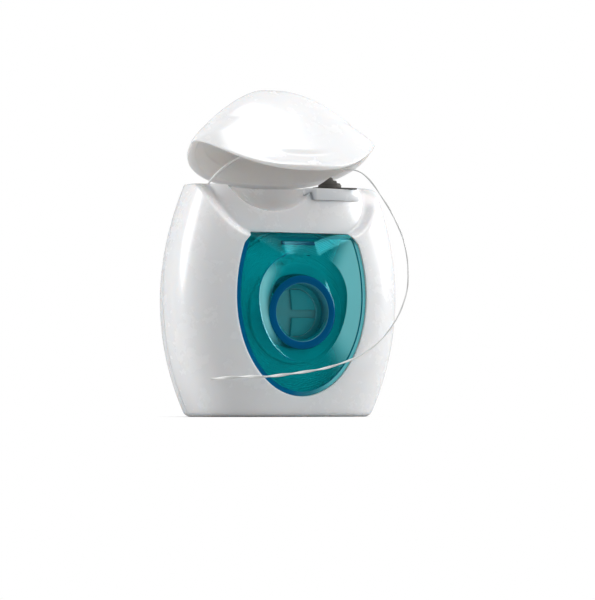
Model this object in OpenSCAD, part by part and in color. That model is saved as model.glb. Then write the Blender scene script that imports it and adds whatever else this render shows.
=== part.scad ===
/* [Body] */
// Width of the body at its widest
body_w = 45.5; // [40:0.5:52]
// Height at which the body is widest
belly_z = 22.1; // [20:0.5:24]
// Radius of the side curve in front view
side_r = 48.6; // [44:0.5:60]
// Depth of the front face ahead of the centre plane
front_d = 10.7; // [10:0.1:12]
// Depth of the back face behind the centre plane
back_d = 10.5; // [10:0.1:12]
// Radius of the front face's curve in side view
front_r = 180; // [150:5:300]
// Radius of the back face's curve in side view
back_r = 120; // [110:5:150]
// Distance below the belly at which the back face is deepest
back_low = 12; // [10:0.5:14]
// Height of the deck at its middle
deck_z = 42; // [41:0.25:43]
// Rise of the deck from its middle to its two ends
deck_rise = 0.6; // [0:0.1:1]
// Squareness of the body's section, 2 is an ellipse
square_n = 3; // [2.6:0.1:3.4]
// Wall of the two shells
wall = 1.6; // [1.4:0.05:1.8]
// Wall behind the lid's seat
seat_back = 1.3; // [1:0.1:1.6]
// Floor of the finger scoop
scoop_floor = 1.3; // [1:0.1:1.6]
// Depth plane where the front and the rear shell meet
part_y = 2; // [1.5:0.1:2.5]
// Rounding of the base edge
base_round = 0.9; // [0.5:0.1:1.2]

/* [Lid] */
// Height of the lid's crown above its side corners
lid_h = 12.7; // [11:0.1:15]
// Distance of the side corners in front of the centre plane
corner_y = 4.85; // [3:0.05:6]
// Distance of the crown in front of the centre plane
crown_y = 2.5; // [1:0.1:5]
// Wall of the lid
lid_wall = 1.4; // [1.2:0.05:1.6]
// Thickness of the front skirt's lower edge
skirt_t = 0.7; // [0.5:0.05:1]
// How far the lid's side corners stand outside the body
lid_flare = 0.4; // [0.1:0.1:0.6]
// Height of the middle of the skirt's lower edge, lid closed
skirt_z = 32.6; // [32.4:0.1:33.4]
// How far the lid stands open, from closed
lid_open = 38.4; // [30:0.2:45]
// Gap between the closed lid and what it seats on
lid_gap = 0.2; // [0.1:0.05:0.3]
// How far the thumb lip stands proud of the skirt
thumb_lip = 0.7; // [0.4:0.1:1]
// Half width of the thumb lip
thumb_w = 6.5; // [5:0.5:8]
// Width of the living hinge
hinge_w = 13.6; // [10:0.4:16]
// Thickness of the living hinge
hinge_t = 0.35; // [0.25:0.05:0.5]
// Length of the living hinge on the body and on the lid
hinge_reach = 0.9; // [0.7:0.1:1.2]

/* [Deck] */
// Share of the half width over which the seat's lower edge is level
seat_flat = 0.5; // [0.4:0.02:0.56]
// Extra depth of the seat for the lid at deck level
seat_deepening = 1.1; // [0.8:0.1:1.3]
// Distance of the finger scoop left of the middle
scoop_x = 4.8; // [4:0.2:6]
// Half width of the finger scoop at the deck
scoop_w = 8.7; // [7:0.1:9]
// Depth of the finger scoop below the deck
scoop_d = 4.5; // [3.5:0.1:4.8]
// Left end of the cutter block
block_x = 4; // [3.4:0.1:4.6]
// Length of the cutter block
block_l = 9.8; // [9:0.1:10]
// Height of the cutter block
block_h = 2.1; // [1.8:0.1:2.6]
// Distance of the floss outlet left of the middle
outlet_x = 14.5; // [13.5:0.1:14.8]
// Diameter of the floss outlet
outlet_dia = 1.8; // [1.4:0.1:2]

/* [Cutter] */
// Length of the cutter's foot
cutter_l = 8; // [7:0.1:8.4]
// Depth of the cutter's foot
cutter_d = 2.6; // [2.2:0.1:3]
// Thickness of the cutter's sheet
cutter_t = 0.3; // [0.2:0.05:0.4]
// Width of the cutter's tooth
tooth_w = 4.7; // [4:0.1:5.2]
// Height of the cutter's tooth
tooth_h = 2.1; // [1.6:0.1:2.4]

/* [Window] */
// Half width of the window
window_w = 13.25; // [12.5:0.05:13.6]
// Height at which the window is widest
window_z = 22; // [21.5:0.25:22.5]
// Length of the window below its widest height
window_low = 18.2; // [17.4:0.1:18.6]
// Length of the full oval above its widest height
window_high = 20; // [19:0.5:22]
// Height of the window's straight top edge
window_top = 33.6; // [33.2:0.1:34]
// Depth of the window behind the body's front face
window_set = 0.3; // [0.2:0.05:0.5]
// Thickness of the window
window_t = 1.3; // [1.1:0.05:1.4]
// Clearance of the window in its opening
window_gap = 0.08; // [0.05:0.01:0.12]
// Half width of the thumb dish in the window
dish_w = 9; // [8.5:0.1:9.5]
// Length of the dish below the window's widest height
dish_low = 12; // [11.5:0.1:12.5]
// Length of the dish above the window's widest height
dish_high = 8.2; // [7.5:0.1:8.6]
// Depth of the dish
dish_d = 0.5; // [0.3:0.05:0.7]
// Distance of the rib below the window's top edge
rib_drop = 2.4; // [2:0.1:3]
// Width of the rib behind the window
rib_w = 6.8; // [6:0.2:8]
// Height of the rib
rib_h = 0.8; // [0.6:0.1:1]

/* [Spool] */
// Height of the spool's axis
hub_z = 19.1; // [19:0.1:19.5]
// Outer diameter of the hub tube
hub_dia = 13.4; // [13:0.1:13.8]
// Diameter of the hub's front counterbore
hub_bore = 10.6; // [10.2:0.1:10.9]
// Diameter of the hub's inner bore
pin_bore = 8.8; // [8.4:0.1:9.2]
// Depth of the hub's counterbore
hub_step = 3.1; // [2.8:0.1:3.4]
// Clearance of the split pin in the hub's bore
pin_gap = 0.05; // [0.03:0.01:0.1]
// Width of the split in the pin
pin_split = 1.1; // [0.9:0.1:1.3]
// Running clearance of the core on the hub
core_gap = 0.09; // [0.05:0.01:0.1]
// Outer diameter of the spool core
core_dia = 18.8; // [18:0.1:19.6]
// Outer diameter of the wound floss
wound_dia = 31; // [28:0.25:31.5]
// Distance of the core behind the hub's front end
core_set = 3; // [2.8:0.1:3.4]
// Bare edge of the core at each end of the winding
core_edge = 0.75; // [0.6:0.05:1.2]
// Turns in the outermost layer
turns = 11; // [8:1:11]

/* [Floss] */
// Diameter of the floss where it runs free
floss_dia = 0.42; // [0.36:0.02:0.5]
// Diameter of the floss as it lies wound
turn_dia = 0.55; // [0.45:0.05:0.6]

/* [Hidden] */

half_w = body_w / 2;
steps = 34;
eps = 0.01;

// Distance that an arc of radius r drops at a distance d from its crown
function drop(r, d) = r - sqrt(r * r - d * d);
// Signed power that turns a circle's sine or cosine into the rounded square's
function bulge(c, n) = sign(c) * pow(abs(c), 2 / n);
function mix(a, b, s) = a + (b - a) * s;
function ramp(x, a, b) = min(1, max(0, (x - a) / (b - a)));
function smooth(s) = s * s * (3 - 2 * s);

// The body's half width, front depth and back depth at height z
function base_inset(z) = z < base_round ? drop(base_round, base_round - z) : 0;
function side_at(z) = half_w - drop(side_r, z - belly_z) - base_inset(z);
function front_at(z) = front_d - drop(front_r, z - belly_z) - base_inset(z);
function back_at(z) = back_d - drop(back_r, z - back_low_z) - base_inset(z);
back_low_z = belly_z - back_low;

// A point of the body's surface, moved in by inset, at angle t and height z
function body_point(t, z, inset) = let (
    b = (sin(t) < 0 ? front_at(z) : back_at(z)) - inset
) [
    (side_at(z) - inset) * bulge(cos(t), square_n),
    b * bulge(sin(t), square_n),
    z
];
// The front surface's y at a place in front view
function front_y(x, z, inset) =
    -(front_at(z) - inset)
    * pow(max(0, 1 - pow(abs(x) / (side_at(z) - inset), square_n)), 1 / square_n);
function deck_over(x) = deck_z + deck_rise * pow(min(1, abs(x) / side_at(deck_z)), 2);
function deck_at(t) = deck_over(side_at(deck_z) * bulge(cos(t), square_n));
// The angle at which the surface crosses the plane between the shells
function part_angle(z, inset) = asin(pow(part_y / (back_at(z) - inset), square_n / 2));

// Triangles between the rings of a loft, and strips or fans that close its ends
function sides(m, k) = [
    for (j = [0:k - 2]) for (i = [0:m - 1])
        let (a = j * m + i, b = j * m + (i + 1) % m)
        each [[a, b + m, b], [a, a + m, b + m]]
];
function strip(m, start, turned) = [
    for (i = [0:m / 2 - 2])
        let (a = start + i, b = a + 1, c = start + m - 2 - i, d = c + 1)
        each (i < m / 4
            ? (turned ? [[a, d, b], [b, d, c]] : [[a, b, d], [b, c, d]])
            : (turned ? [[a, c, b], [a, d, c]] : [[a, b, c], [a, c, d]]))
];
function fan(m, start, pole, turned) = [
    for (i = [0:m - 1])
        let (a = start + i, b = start + (i + 1) % m)
        turned ? [b, a, pole] : [a, b, pole]
];
module strip_loft(rings) {
    m = len(rings[0]);
    k = len(rings);
    polyhedron(
        points = [for (r = rings) each r],
        faces = concat(sides(m, k), strip(m, 0, false), strip(m, (k - 1) * m, true))
    );
}
module pole_loft(rings, first, last) {
    m = len(rings[0]);
    k = len(rings);
    polyhedron(
        points = concat([for (r = rings) each r], [first, last]),
        faces = concat(
            sides(m, k), fan(m, 0, m * k, false), fan(m, (k - 1) * m, m * k + 1, true)
        )
    );
}

// Surfaces of the lid, drawn closed; w moves them in from the outside.
// Each section is two arcs that meet in the side corners; u runs from the rim to the crown.
rim_z = deck_z + deck_rise + lid_gap / 4;
lid_top = rim_z + lid_h;
lid_side = side_at(deck_z) + lid_flare;
lid_front = front_at(skirt_z) - 0.1;
hinge_y = back_at(deck_z) + 0.5;
hinge_z = deck_z + lid_gap / 2;
lid_back = hinge_y - 0.1;
function shrink(u, m) = pow(max(0, 1 - pow(u, m)), 1 / m);
function lid_n(u) = max(2.3, 1.28 + 3.8 * u);
// Height of the lid's lower edge at a distance x from its middle, in front and behind
function skirt_edge(x) = mix(skirt_z, rim_z, pow(min(1, abs(x) / lid_side), 2.44));
function lid_edge(t) = let (x = lid_side * bulge(cos(t), lid_n(0)))
    sin(t) < 0 ? skirt_edge(x) : deck_over(x) + lid_gap / 2;
function lip_at(x, above) = thumb_lip * exp(-pow(x / thumb_w, 2)) * (1 - smooth(ramp(above, 0.5, 2.2)))
    - 0.3 * exp(-pow(x / (thumb_w - 1), 2)) * (1 - smooth(ramp(abs(above - 3.4), 0, 1.6)));
function lid_point(t, z, w) = let (
    u = ramp(z, rim_z, lid_top - w),
    above = z - lid_edge(t),
    thin = sin(t) < 0 ? 1 - max(ramp(above, 0, 3), pow(abs(cos(t)), 3)) : 0,
    in = mix(w, min(w, skirt_t), thin),
    gx = shrink(u, 1.25),
    gy = shrink(u, 3.46),
    x = (lid_side - in) * gx * bulge(cos(t), lid_n(u)),
    front = crown_y + (lid_front - in - crown_y) * gy,
    middle = mix(crown_y, corner_y, gy),
    back = (lid_back - in + crown_y) * gy - crown_y,
    lip = sin(t) < 0 && w == 0 ? lip_at(x, above) : 0
) [x, (sin(t) < 0 ? front - middle : back + middle) * bulge(sin(t), lid_n(u)) - middle - lip, z];
lid_rows = [1, 0.96, 0.9, 0.82, 0.72, 0.61, 0.5, 0.4, 0.3, 0.2, 0.115, 0.05, 0.012];
lid_steps = 56;
function lid_ring(q, w) = let (top = lid_top - w) [
    for (i = [0:lid_steps - 1])
        let (t = 360 * (i + 0.5) / lid_steps) lid_point(t, top - (top - lid_edge(t)) * q, w)
];

module at_lid() {
    translate([0, hinge_y, hinge_z]) rotate([-lid_open, 0, 0])
        translate([0, -hinge_y, -hinge_z]) children();
}

module lid() {
    color("white") at_lid() pole_loft(
        concat(
            [for (i = [len(lid_rows) - 1:-1:0]) lid_ring(lid_rows[i], lid_wall)],
            [for (q = lid_rows) lid_ring(q, 0)]
        ),
        [0, -crown_y, lid_top - lid_wall], [0, -crown_y, lid_top]
    );
}

// A strip of the same moulding joins the backs of the body and the lid
module living_hinge() {
    low_z = deck_z - hinge_reach;
    low = [hinge_y - 0.05 + back_at(low_z) - back_at(deck_z), low_z];
    turned = [for (p = [[0, 0], [hinge_t, 0], [hinge_t, hinge_reach], [0, hinge_reach]])
        [hinge_y - 0.03 + p.x * cos(lid_open) + p.y * sin(lid_open),
         hinge_z + 0.05 - p.x * sin(lid_open) + p.y * cos(lid_open)]];
    color("white") translate([-hinge_w / 2, 0, 0]) rotate([90, 0, 90])
        linear_extrude(hinge_w) polygon([
            low, low + [hinge_t, 0], [hinge_y + hinge_t, hinge_z - 0.1],
            turned[1], turned[2], turned[3], [hinge_y - 0.03, hinge_z]
        ]);
}

// The two half shells: rings run round the outside and back along the inside
seat_wall = lid_wall + lid_gap + 0.1 + seat_back;
under_deck = deck_z - scoop_d - scoop_floor;
level_z = 0.84 * deck_z;
outer_z = concat(
    base_round * [0, 0.07, 0.37, 1],
    deck_z * [0.1, 0.21, 0.33, 0.48, 0.62, 0.74, 0.79, 0.83, 0.9, 0.96, 1]
);
function shell_arc(front, z_of, inset) = [
    for (i = [0:steps])
        let (
            p0 = part_angle(z_of(0), inset),
            t = front ? -180 - p0 + i * (180 + 2 * p0) / steps : p0 + i * (180 - 2 * p0) / steps
        ) body_point(t, z_of(t), inset)
];
// Points on the parting plane, in the order of an arc
function flat_arc(front, z, inset) = [
    for (i = [0:steps]) let (s = 1 - 2 * i / steps)
        [(side_at(z) - inset) * (front ? -s : s), part_y, z]
];
function back_to_front(v) = [for (i = [len(v) - 1:-1:0]) v[i]];
function outer_arc(front, z) =
    shell_arc(front, function (t) mix(z, deck_at(t), ramp(z, level_z, deck_z)), 0);
function inner_arc(front, z, inset) = shell_arc(front, function (t) z, inset);
function shell_ring(front, j, top) = let (
    z = outer_z[j],
    inner = j < 3 ? flat_arc(front, wall * [0, 0.5, 0.9][j], 2 * wall)
        : j == 3 ? inner_arc(front, wall, wall)
        : j < 10 ? inner_arc(front, z, wall)
        : j < 12 ? inner_arc(front, front ? min(z, top - 0.6) : z, front ? seat_wall : wall)
        : j == 12 ? inner_arc(front, top, front ? seat_wall : wall)
        : flat_arc(front, j == 13 ? mix(top, deck_z, 0.1) : deck_z - 0.2, 2 * seat_wall)
) concat(outer_arc(front, z), back_to_front(inner));

module half_shell(front, top) {
    strip_loft([for (j = [0:len(outer_z) - 1]) shell_ring(front, j, top)]);
}

// The seat that the closed lid's skirt fills, deeper towards the deck
seat_share = [0, 0.2, 0.45, 0.7, 1];
function seat_edge(t) = let (c = abs(bulge(cos(t), square_n)))
    mix(window_top, deck_at(t), pow(ramp(c, seat_flat, 1), 1.4)) - 2 * lid_gap;
function seat_inset(z) = lid_wall + lid_gap + 0.1
    + seat_deepening * pow(ramp(z, window_top, deck_z), 1.2);
function seat_arc(f, outside) = [
    for (i = [0:steps])
        let (
            t = -178 + 176 * i / steps,
            z = mix(seat_edge(t), deck_at(t) + 1.5, f)
        ) body_point(t, z, outside ? -1.5 : seat_inset(z))
];
module lid_seat() {
    strip_loft([for (f = seat_share) concat(seat_arc(f, true), back_to_front(seat_arc(f, false)))]);
}

// Outline of the window in front view at angle t, grown by g
function window_at(t, g) = let (
    x = (window_w + g) * cos(t),
    z = window_z + ((sin(t) < 0 ? window_low : window_high) + g) * sin(t),
    top = window_top + g
) [x, min(z, top, top - 1.15 * (abs(x) - 0.75 * window_w))];
function dish_at(t, s) =
    [s * dish_w * cos(t), window_z + s * (sin(t) < 0 ? dish_low : dish_high) * sin(t)];
dish_shares = [1, 0.93, 0.8, 0.6, 0.35];
rim_shares = [1, 0.55, 0.2];
window_steps = 48;
// The window's top slopes back from a fold line, so that the closed skirt laps over it
fold_w = 3.5;
fold_z = window_top - 4.4;
function fold_at(x) = fold_z + 0.53 * max(0, abs(x) - fold_w);
lap_depth = lid_wall + lid_gap + 0.25;
function lap(p) = min(lap_depth, 0.6 * max(0, p.y - fold_at(p.x)));
function on_window(p, depth, back) =
    [p.x, front_y(p.x, p.y, window_set + (back ? window_t : 0)) + max(depth, lap(p)), p.y];
function rim_ring(u, back) = [
    for (i = [0:window_steps - 1])
        let (t = 360 * (i + 0.5) / window_steps)
        on_window(mix(dish_at(t, 1), window_at(t, 0), u), 0, back)
];
function dish_ring(s, back) = [
    for (i = [0:window_steps - 1])
        let (t = 360 * (i + 0.5) / window_steps)
        on_window(dish_at(t, s), dish_d * smooth(ramp(1 - s, 0, 0.2)), back)
];
function window_face(back) = concat(
    [for (u = rim_shares) rim_ring(u, back)], [for (s = dish_shares) dish_ring(s, back)]
);

hub_front = -(front_d - window_set - dish_d) - 0.05;
hub_back = back_at(hub_z) - wall - 1.3;
module along_y(y) {
    translate([0, y, hub_z]) rotate([-90, 0, 0]) children();
}

module window() {
    color([0, 0.55, 0.6, 0.6]) difference() {
        union() {
            pole_loft(
                concat(back_to_front(window_face(true)), window_face(false)),
                on_window([0, window_z], dish_d, true), on_window([0, window_z], dish_d, false)
            );
            along_y(hub_front) cylinder(d = hub_dia, h = hub_back - hub_front, $fn = 48);
            window_rib();
        }
        along_y(hub_front - 2) cylinder(d = hub_bore, h = 2 + hub_step, $fn = 48);
        along_y(hub_front - 2) cylinder(d = pin_bore, h = hub_back - hub_front + 4, $fn = 48);
    }
}
// Rib behind the window's top edge
module window_rib() {
    rib_z = window_top - rib_drop;
    y = front_y(0, rib_z, window_set + window_t);
    translate([-rib_w / 2, y - 0.3, rib_z]) cube([rib_w, 1.4, rib_h]);
}

block_z = deck_z - block_h;
block_end = block_x + block_l;
module front_shell() {
    color("white") difference() {
        union() {
            difference() {
                half_shell(true, under_deck);
                lid_seat();
                rotate([90, 0, 0]) translate([0, 0, front_d - opening_cut])
                    linear_extrude(2 * opening_cut) polygon([
                        for (i = [0:window_steps - 1])
                            window_at(360 * (i + 0.5) / window_steps, window_gap)
                    ]);
                translate([-scoop_x, -front_at(deck_z) + 0.6, deck_z - scoop_d + scoop_r])
                    sphere(r = scoop_r, $fn = 64);
            }
            cutter_block();
        }
        translate([-outlet_x, 0, under_deck - 1])
            cylinder(d = outlet_dia, h = deck_z - under_deck + 3, $fn = 24);
        translate([cutter_x - 0.1, cutter_y - 0.1, deck_z])
            cube([cutter_l + 0.2, cutter_d + 0.2, 2]);
    }
}
// The opening's cut starts behind the wall, where the section curves back at its ends
opening_cut = wall + 2.6;
scoop_r = (scoop_w * scoop_w + scoop_d * scoop_d) / (2 * scoop_d);
module cutter_block() {
    face = [for (i = [0:6]) let (x = block_x + block_l * i / 6)
        [x, front_y(x, deck_z, lid_wall + 2 * lid_gap)]];
    behind = front_y(0, deck_z, seat_inset(deck_z)) + 1;
    translate([0, 0, block_z]) linear_extrude(block_h) polygon(concat(
        [[block_x - 1.8, face[0].y + 1.6]], face, [[block_end, behind], [block_x - 1.8, behind]]
    ));
}

cutter_x = block_x + 0.7;
cutter_y = front_y(0, deck_z, lid_wall + 2 * lid_gap) + 0.55;
module cutter() {
    color([0.33, 0.32, 0.31]) translate([cutter_x, cutter_y, deck_z]) {
        cube([cutter_l, cutter_d, cutter_t]);
        translate([0, cutter_t, 0]) rotate([90, 0, 0]) linear_extrude(cutter_t) polygon([
            [0, 0], [0, 0.5], [tooth_w * 0.52, tooth_h], [tooth_w * 0.62, tooth_h * 0.92],
            [tooth_w * 0.66, tooth_h * 0.72], [tooth_w * 0.78, tooth_h * 0.72],
            [tooth_w * 0.82, tooth_h * 0.52], [tooth_w * 0.94, tooth_h * 0.5],
            [tooth_w, tooth_h * 0.32], [tooth_w, 0]
        ]);
    }
}

core_front = hub_front + core_set;
core_back = hub_back - 0.3;
module rear_shell() {
    pin_r = pin_bore / 2 - pin_gap;
    pin_front = hub_front + hub_step + 1.3;
    base = back_at(hub_z) - wall / 2;
    color("white") difference() {
        union() {
            half_shell(false, deck_z - wall);
            along_y(pin_front) cylinder(r = pin_r, h = base - pin_front, $fn = 48);
            along_y(hub_back + 0.1) cylinder(d = core_dia - 0.6, h = base - hub_back - 0.1, $fn = 48);
        }
        along_y(pin_front - 1) for (a = [0, 90]) rotate([0, 0, a])
            translate([-pin_bore, -pin_split / 2, 0]) cube([2 * pin_bore, pin_split, 8]);
    }
}

module spool_core() {
    color([0.9, 0.9, 0.88]) along_y(core_front) difference() {
        cylinder(d = core_dia, h = core_back - core_front, $fn = 64);
        translate([0, 0, -1])
            cylinder(r = hub_dia / 2 + core_gap, h = core_back - core_front + 2, $fn = 64);
    }
}

wound_front = core_front + core_edge;
wound_w = core_back - core_edge - wound_front;
turn_r = (wound_dia - turn_dia) / 2;
pitch = (wound_w - turn_dia) / turns;
module floss_inner_turns() {
    color([0.95, 0.95, 0.93]) along_y(wound_front) difference() {
        cylinder(r = turn_r * cos(180 / turn_rings) - turn_dia / 2, h = wound_w, $fn = 64);
        translate([0, 0, -1]) cylinder(d = core_dia + 0.04, h = wound_w + 2, $fn = 64);
    }
}

turn_rings = 24;
turn_sides = 6;
function turn_at(i) = let (a = -360 * i / turn_rings)
    [turn_r * cos(a), wound_front + turn_dia / 2 + pitch * i / turn_rings, hub_z + turn_r * sin(a)];
turn_path = [for (i = [0:turns * turn_rings]) turn_at(i)];
turn_gap = min([for (i = [0:(turns - 1) * turn_rings])
    norm(turn_path[i + turn_rings] - turn_path[i])]) - turn_dia;
echo(least_gap_between_turns_mm = turn_gap);

// A tube of given sides along a path, square to it at every ring
function along(path, i) = let (n = len(path) - 1, d = path[min(n, i + 1)] - path[max(0, i - 1)])
    d / norm(d);
function tube_ring(path, i, dia, count) = let (
    d = along(path, i),
    u = cross(d, [0, 1, 0]) / norm(cross(d, [0, 1, 0])),
    v = cross(d, u)
) [for (k = [0:count - 1]) path[i] + dia / 2 * (cos(360 * k / count) * u + sin(360 * k / count) * v)];
module tube(path, dia, count) {
    strip_loft([for (i = [0:len(path) - 1]) tube_ring(path, i, dia, count)]);
}
// A smooth curve through chosen points, with k steps from each to the next
function spline(p, k) = let (n = len(p) - 1) concat([
    for (i = [0:n - 1]) for (j = [0:k - 1])
        let (
            s = j / k,
            a = p[max(0, i - 1)], b = p[i], c = p[i + 1], d = p[min(n, i + 2)]
        ) (2 * b + s * (c - a) + s * s * (2 * a - 5 * b + 4 * c - d)
            + s * s * s * (3 * b - a - 3 * c + d)) / 2
], [p[n]]);

module floss_outer_turns() {
    color([0.95, 0.95, 0.93]) tube(turn_path, turn_dia, turn_sides);
}

// Route of the floss from the winding to the outlet, then over the deck and round the front
feed_gap = 0.6;
feed_x = wound_dia / 2 + feed_gap;
feed_route = [
    [-feed_x, 0, hub_z + 0.9], [0.5 - feed_x, 0, hub_z + 7.9],
    [mix(-feed_x, -outlet_x, 0.81), 0, hub_z + 13.9], [-outlet_x, 0, deck_z - 5],
    [-outlet_x, 0, deck_z + 0.2]
];
loop_route = [
    [-14.5, 0, 42.2], [-14.2, -0.5, 43.2], [-12.5, -2, 45.4], [-9.5, -3.8, 47.6], [-5, -4.8, 48.9],
    [0, -5.7, 49], [4.4, -7.2, 47.9], [7.6, -8.6, 46.4], [9, -9.6, 45.5], [10.2, -10.4, 45.4],
    [11.6, -10.9, 44.9], [13.2, -11, 43.7], [15.2, -11, 41.4]
];
tail_route = [
    [15.2, -11, 41.4], [17.2, -11.1, 38.6], [19, -11.1, 35.6], [20.2, -11.1, 33], [21, -11.1, 30],
    [21.3, -11.1, 27], [21.2, -11.1, 24], [20.5, -11.1, 21.4], [19.2, -11.1, 18.6],
    [17.2, -11.1, 15.8], [14.6, -11.1, 13.3], [11.2, -11, 11.2], [7.4, -10.95, 9.8],
    [3.6, -10.95, 8.8], [-1, -10.95, 8.1], [-5, -10.9, 7.6], [-8.4, -10.75, 7.3],
    [-11.5, -10.35, 7.3], [-14.5, -9.6, 7.1], [-17.7, -8.2, 6.9]
];

module floss_feed() {
    color("white") tube(spline(feed_route, 2), floss_dia, 8);
}
module floss_loop() {
    color("white") tube(spline(loop_route, 2), floss_dia, 8);
}
module floss_tail() {
    color("white") tube(spline(tail_route, 2), floss_dia, 8);
}

front_shell();
rear_shell();
living_hinge();
lid();
window();
cutter();
spool_core();
floss_inner_turns();
floss_outer_turns();
floss_feed();
floss_loop();
floss_tail();
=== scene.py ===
# %% [markdown]
# # A pocket dental floss dispenser
# This notebook dresses a dispenser whose solids are already packed in metres. The frame is loaded
# first and its box is kept, because the finished scene has to stay inside the same box. After that
# every piece is drawn again on the same curves as the solids, only much finer, and gets its finish.

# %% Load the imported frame
import math
import bmesh
import bpy
import numpy as np
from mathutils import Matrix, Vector


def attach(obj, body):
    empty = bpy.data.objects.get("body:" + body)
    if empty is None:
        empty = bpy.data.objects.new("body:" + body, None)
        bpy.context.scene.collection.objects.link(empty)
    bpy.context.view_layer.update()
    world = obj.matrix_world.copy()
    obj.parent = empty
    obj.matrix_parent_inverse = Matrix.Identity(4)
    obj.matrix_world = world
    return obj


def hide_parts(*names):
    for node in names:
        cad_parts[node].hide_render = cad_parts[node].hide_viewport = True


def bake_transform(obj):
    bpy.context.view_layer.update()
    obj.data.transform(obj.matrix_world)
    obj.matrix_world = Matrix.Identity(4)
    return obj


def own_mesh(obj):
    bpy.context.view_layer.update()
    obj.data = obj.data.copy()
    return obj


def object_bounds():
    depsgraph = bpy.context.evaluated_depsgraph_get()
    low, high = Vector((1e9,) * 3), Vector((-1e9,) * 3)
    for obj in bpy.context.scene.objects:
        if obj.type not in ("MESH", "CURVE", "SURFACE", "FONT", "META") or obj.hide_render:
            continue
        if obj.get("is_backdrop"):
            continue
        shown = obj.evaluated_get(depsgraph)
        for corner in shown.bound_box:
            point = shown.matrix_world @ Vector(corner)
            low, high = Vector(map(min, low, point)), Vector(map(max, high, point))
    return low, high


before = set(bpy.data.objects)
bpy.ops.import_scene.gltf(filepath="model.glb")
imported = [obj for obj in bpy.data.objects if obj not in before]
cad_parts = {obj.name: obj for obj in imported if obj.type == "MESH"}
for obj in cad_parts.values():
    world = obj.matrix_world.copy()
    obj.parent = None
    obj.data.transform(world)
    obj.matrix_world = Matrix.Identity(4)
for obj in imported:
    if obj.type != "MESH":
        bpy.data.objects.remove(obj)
cad_box = [list(corner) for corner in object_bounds()]
print("nodes:", sorted(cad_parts))
print("box in mm:", [[round(1000 * c, 1) for c in corner] for corner in cad_box])

# %% [markdown]
# ## The camera
# A catalogue photograph is taken from far away with a long lens. The fit to the picture gave a
# camera 620 mm off, turned 26.5 degrees to the left of the front and only 3 mm above the shelf. It
# looks level, and the lens is shifted, so that upright edges stay upright.

# %% Place the camera
def place(name, data):
    """An object at the origin that shows this data."""
    made = bpy.data.objects.new(name, data)
    bpy.context.collection.objects.link(made)
    return made


TURN = math.radians(26.5)
DISTANCE = 0.62
PIXELS_PER_MM = 5.4
IMAGE_WIDTH, IMAGE_HEIGHT = 595, 600
AXIS_X, HORIZON_Y = 278.3, 400.5

lens = bpy.data.cameras.new("photo_lens")
lens.sensor_fit = "HORIZONTAL"
lens.sensor_width = 36
lens.lens = PIXELS_PER_MM * 1000 * DISTANCE / IMAGE_WIDTH * lens.sensor_width
lens.shift_x = (IMAGE_WIDTH / 2 - AXIS_X) / IMAGE_WIDTH
lens.shift_y = (HORIZON_Y - IMAGE_HEIGHT / 2) / IMAGE_WIDTH
lens.clip_start, lens.clip_end = 0.01, 20
camera = place("photo_camera", lens)
camera.location = (-DISTANCE * math.sin(TURN), -DISTANCE * math.cos(TURN), 0.003)
camera.rotation_euler = (math.pi / 2, 0, -TURN)
bpy.context.scene.camera = camera
print("lens", round(lens.lens, 1), "mm, shift", round(lens.shift_x, 3), round(lens.shift_y, 3))

# %% [markdown]
# ## Meshes from points
# All shapes below are lists of points in millimetres and the faces between them. Three helpers do
# most of it: one makes the object in metres, one joins rows of points into a skin, and one cuts a
# shape with another. The volume's sign tells whether the faces look outwards.

# %% Helpers for meshes
def mix(a, b, s):
    return a + (b - a) * s


def ramp(x, a, b):
    return np.clip((x - a) / (b - a), 0, 1)


def smooth(s):
    return s * s * (3 - 2 * s)


def skin_faces(rows, columns, closed=True, looped=False):
    """Four-sided faces between rows; closed joins a row's ends, looped the last row to the first."""
    faces = []
    for r in range(rows if looped else rows - 1):
        n = (r + 1) % rows
        for c in range(columns if closed else columns - 1):
            d = (c + 1) % columns
            faces.append((r * columns + c, r * columns + d, n * columns + d, n * columns + c))
    return faces


def volume_of(points, faces):
    total = 0.0
    for f in faces:
        a = points[f[0]]
        for i in range(1, len(f) - 1):
            total += np.dot(a, np.cross(points[f[i]], points[f[i + 1]]))
    return total / 6


def make_piece(name, points, faces, crease=32):
    """An object from points in millimetres, faces outwards, smooth up to the crease angle."""
    points = np.asarray(points, float)
    if volume_of(points - points.mean(axis=0), faces) < 0:
        faces = [tuple(reversed(f)) for f in faces]
    mesh = bpy.data.meshes.new(name)
    mesh.from_pydata((points / 1000).tolist(), [], faces)
    mesh.validate()
    piece = place(name, mesh)
    shade(piece, crease)
    return piece


def shade(piece, crease=32):
    piece.data.polygons.foreach_set("use_smooth", [True] * len(piece.data.polygons))
    piece.data.set_sharp_from_angle(angle=math.radians(crease))


def with_modifiers(piece):
    """Turns what a piece's modifiers make into its plain mesh."""
    bpy.context.view_layer.update()
    old = piece.data
    graph = bpy.context.evaluated_depsgraph_get()
    made = bpy.data.meshes.new_from_object(piece.evaluated_get(graph))
    piece.modifiers.clear()
    piece.data = made
    made.name = piece.name
    bpy.data.meshes.remove(old)
    return piece


def carve(piece, tool, operation="DIFFERENCE"):
    """Cuts piece with tool, which is used up."""
    step = piece.modifiers.new("carve", "BOOLEAN")
    step.operation, step.object, step.solver = operation, tool, "EXACT"
    with_modifiers(piece)
    bpy.data.objects.remove(tool)
    return piece


def mark_points(piece, **marks):
    """Gives a piece's points values for its finish: one for all, or one for each."""
    for name, values in marks.items():
        layer = piece.data.attributes.new(name, "FLOAT", "POINT")
        values = np.zeros(len(piece.data.vertices)) + values
        layer.data.foreach_set("value", values.astype(np.float32))
    return piece


def join(piece, *others):
    """Adds the meshes of others to piece's own."""
    whole = bmesh.new()
    for o in (piece, *others):
        whole.from_mesh(o.data)
    whole.to_mesh(piece.data)
    whole.free()
    for o in others:
        bpy.data.objects.remove(o)
    return piece


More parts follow.
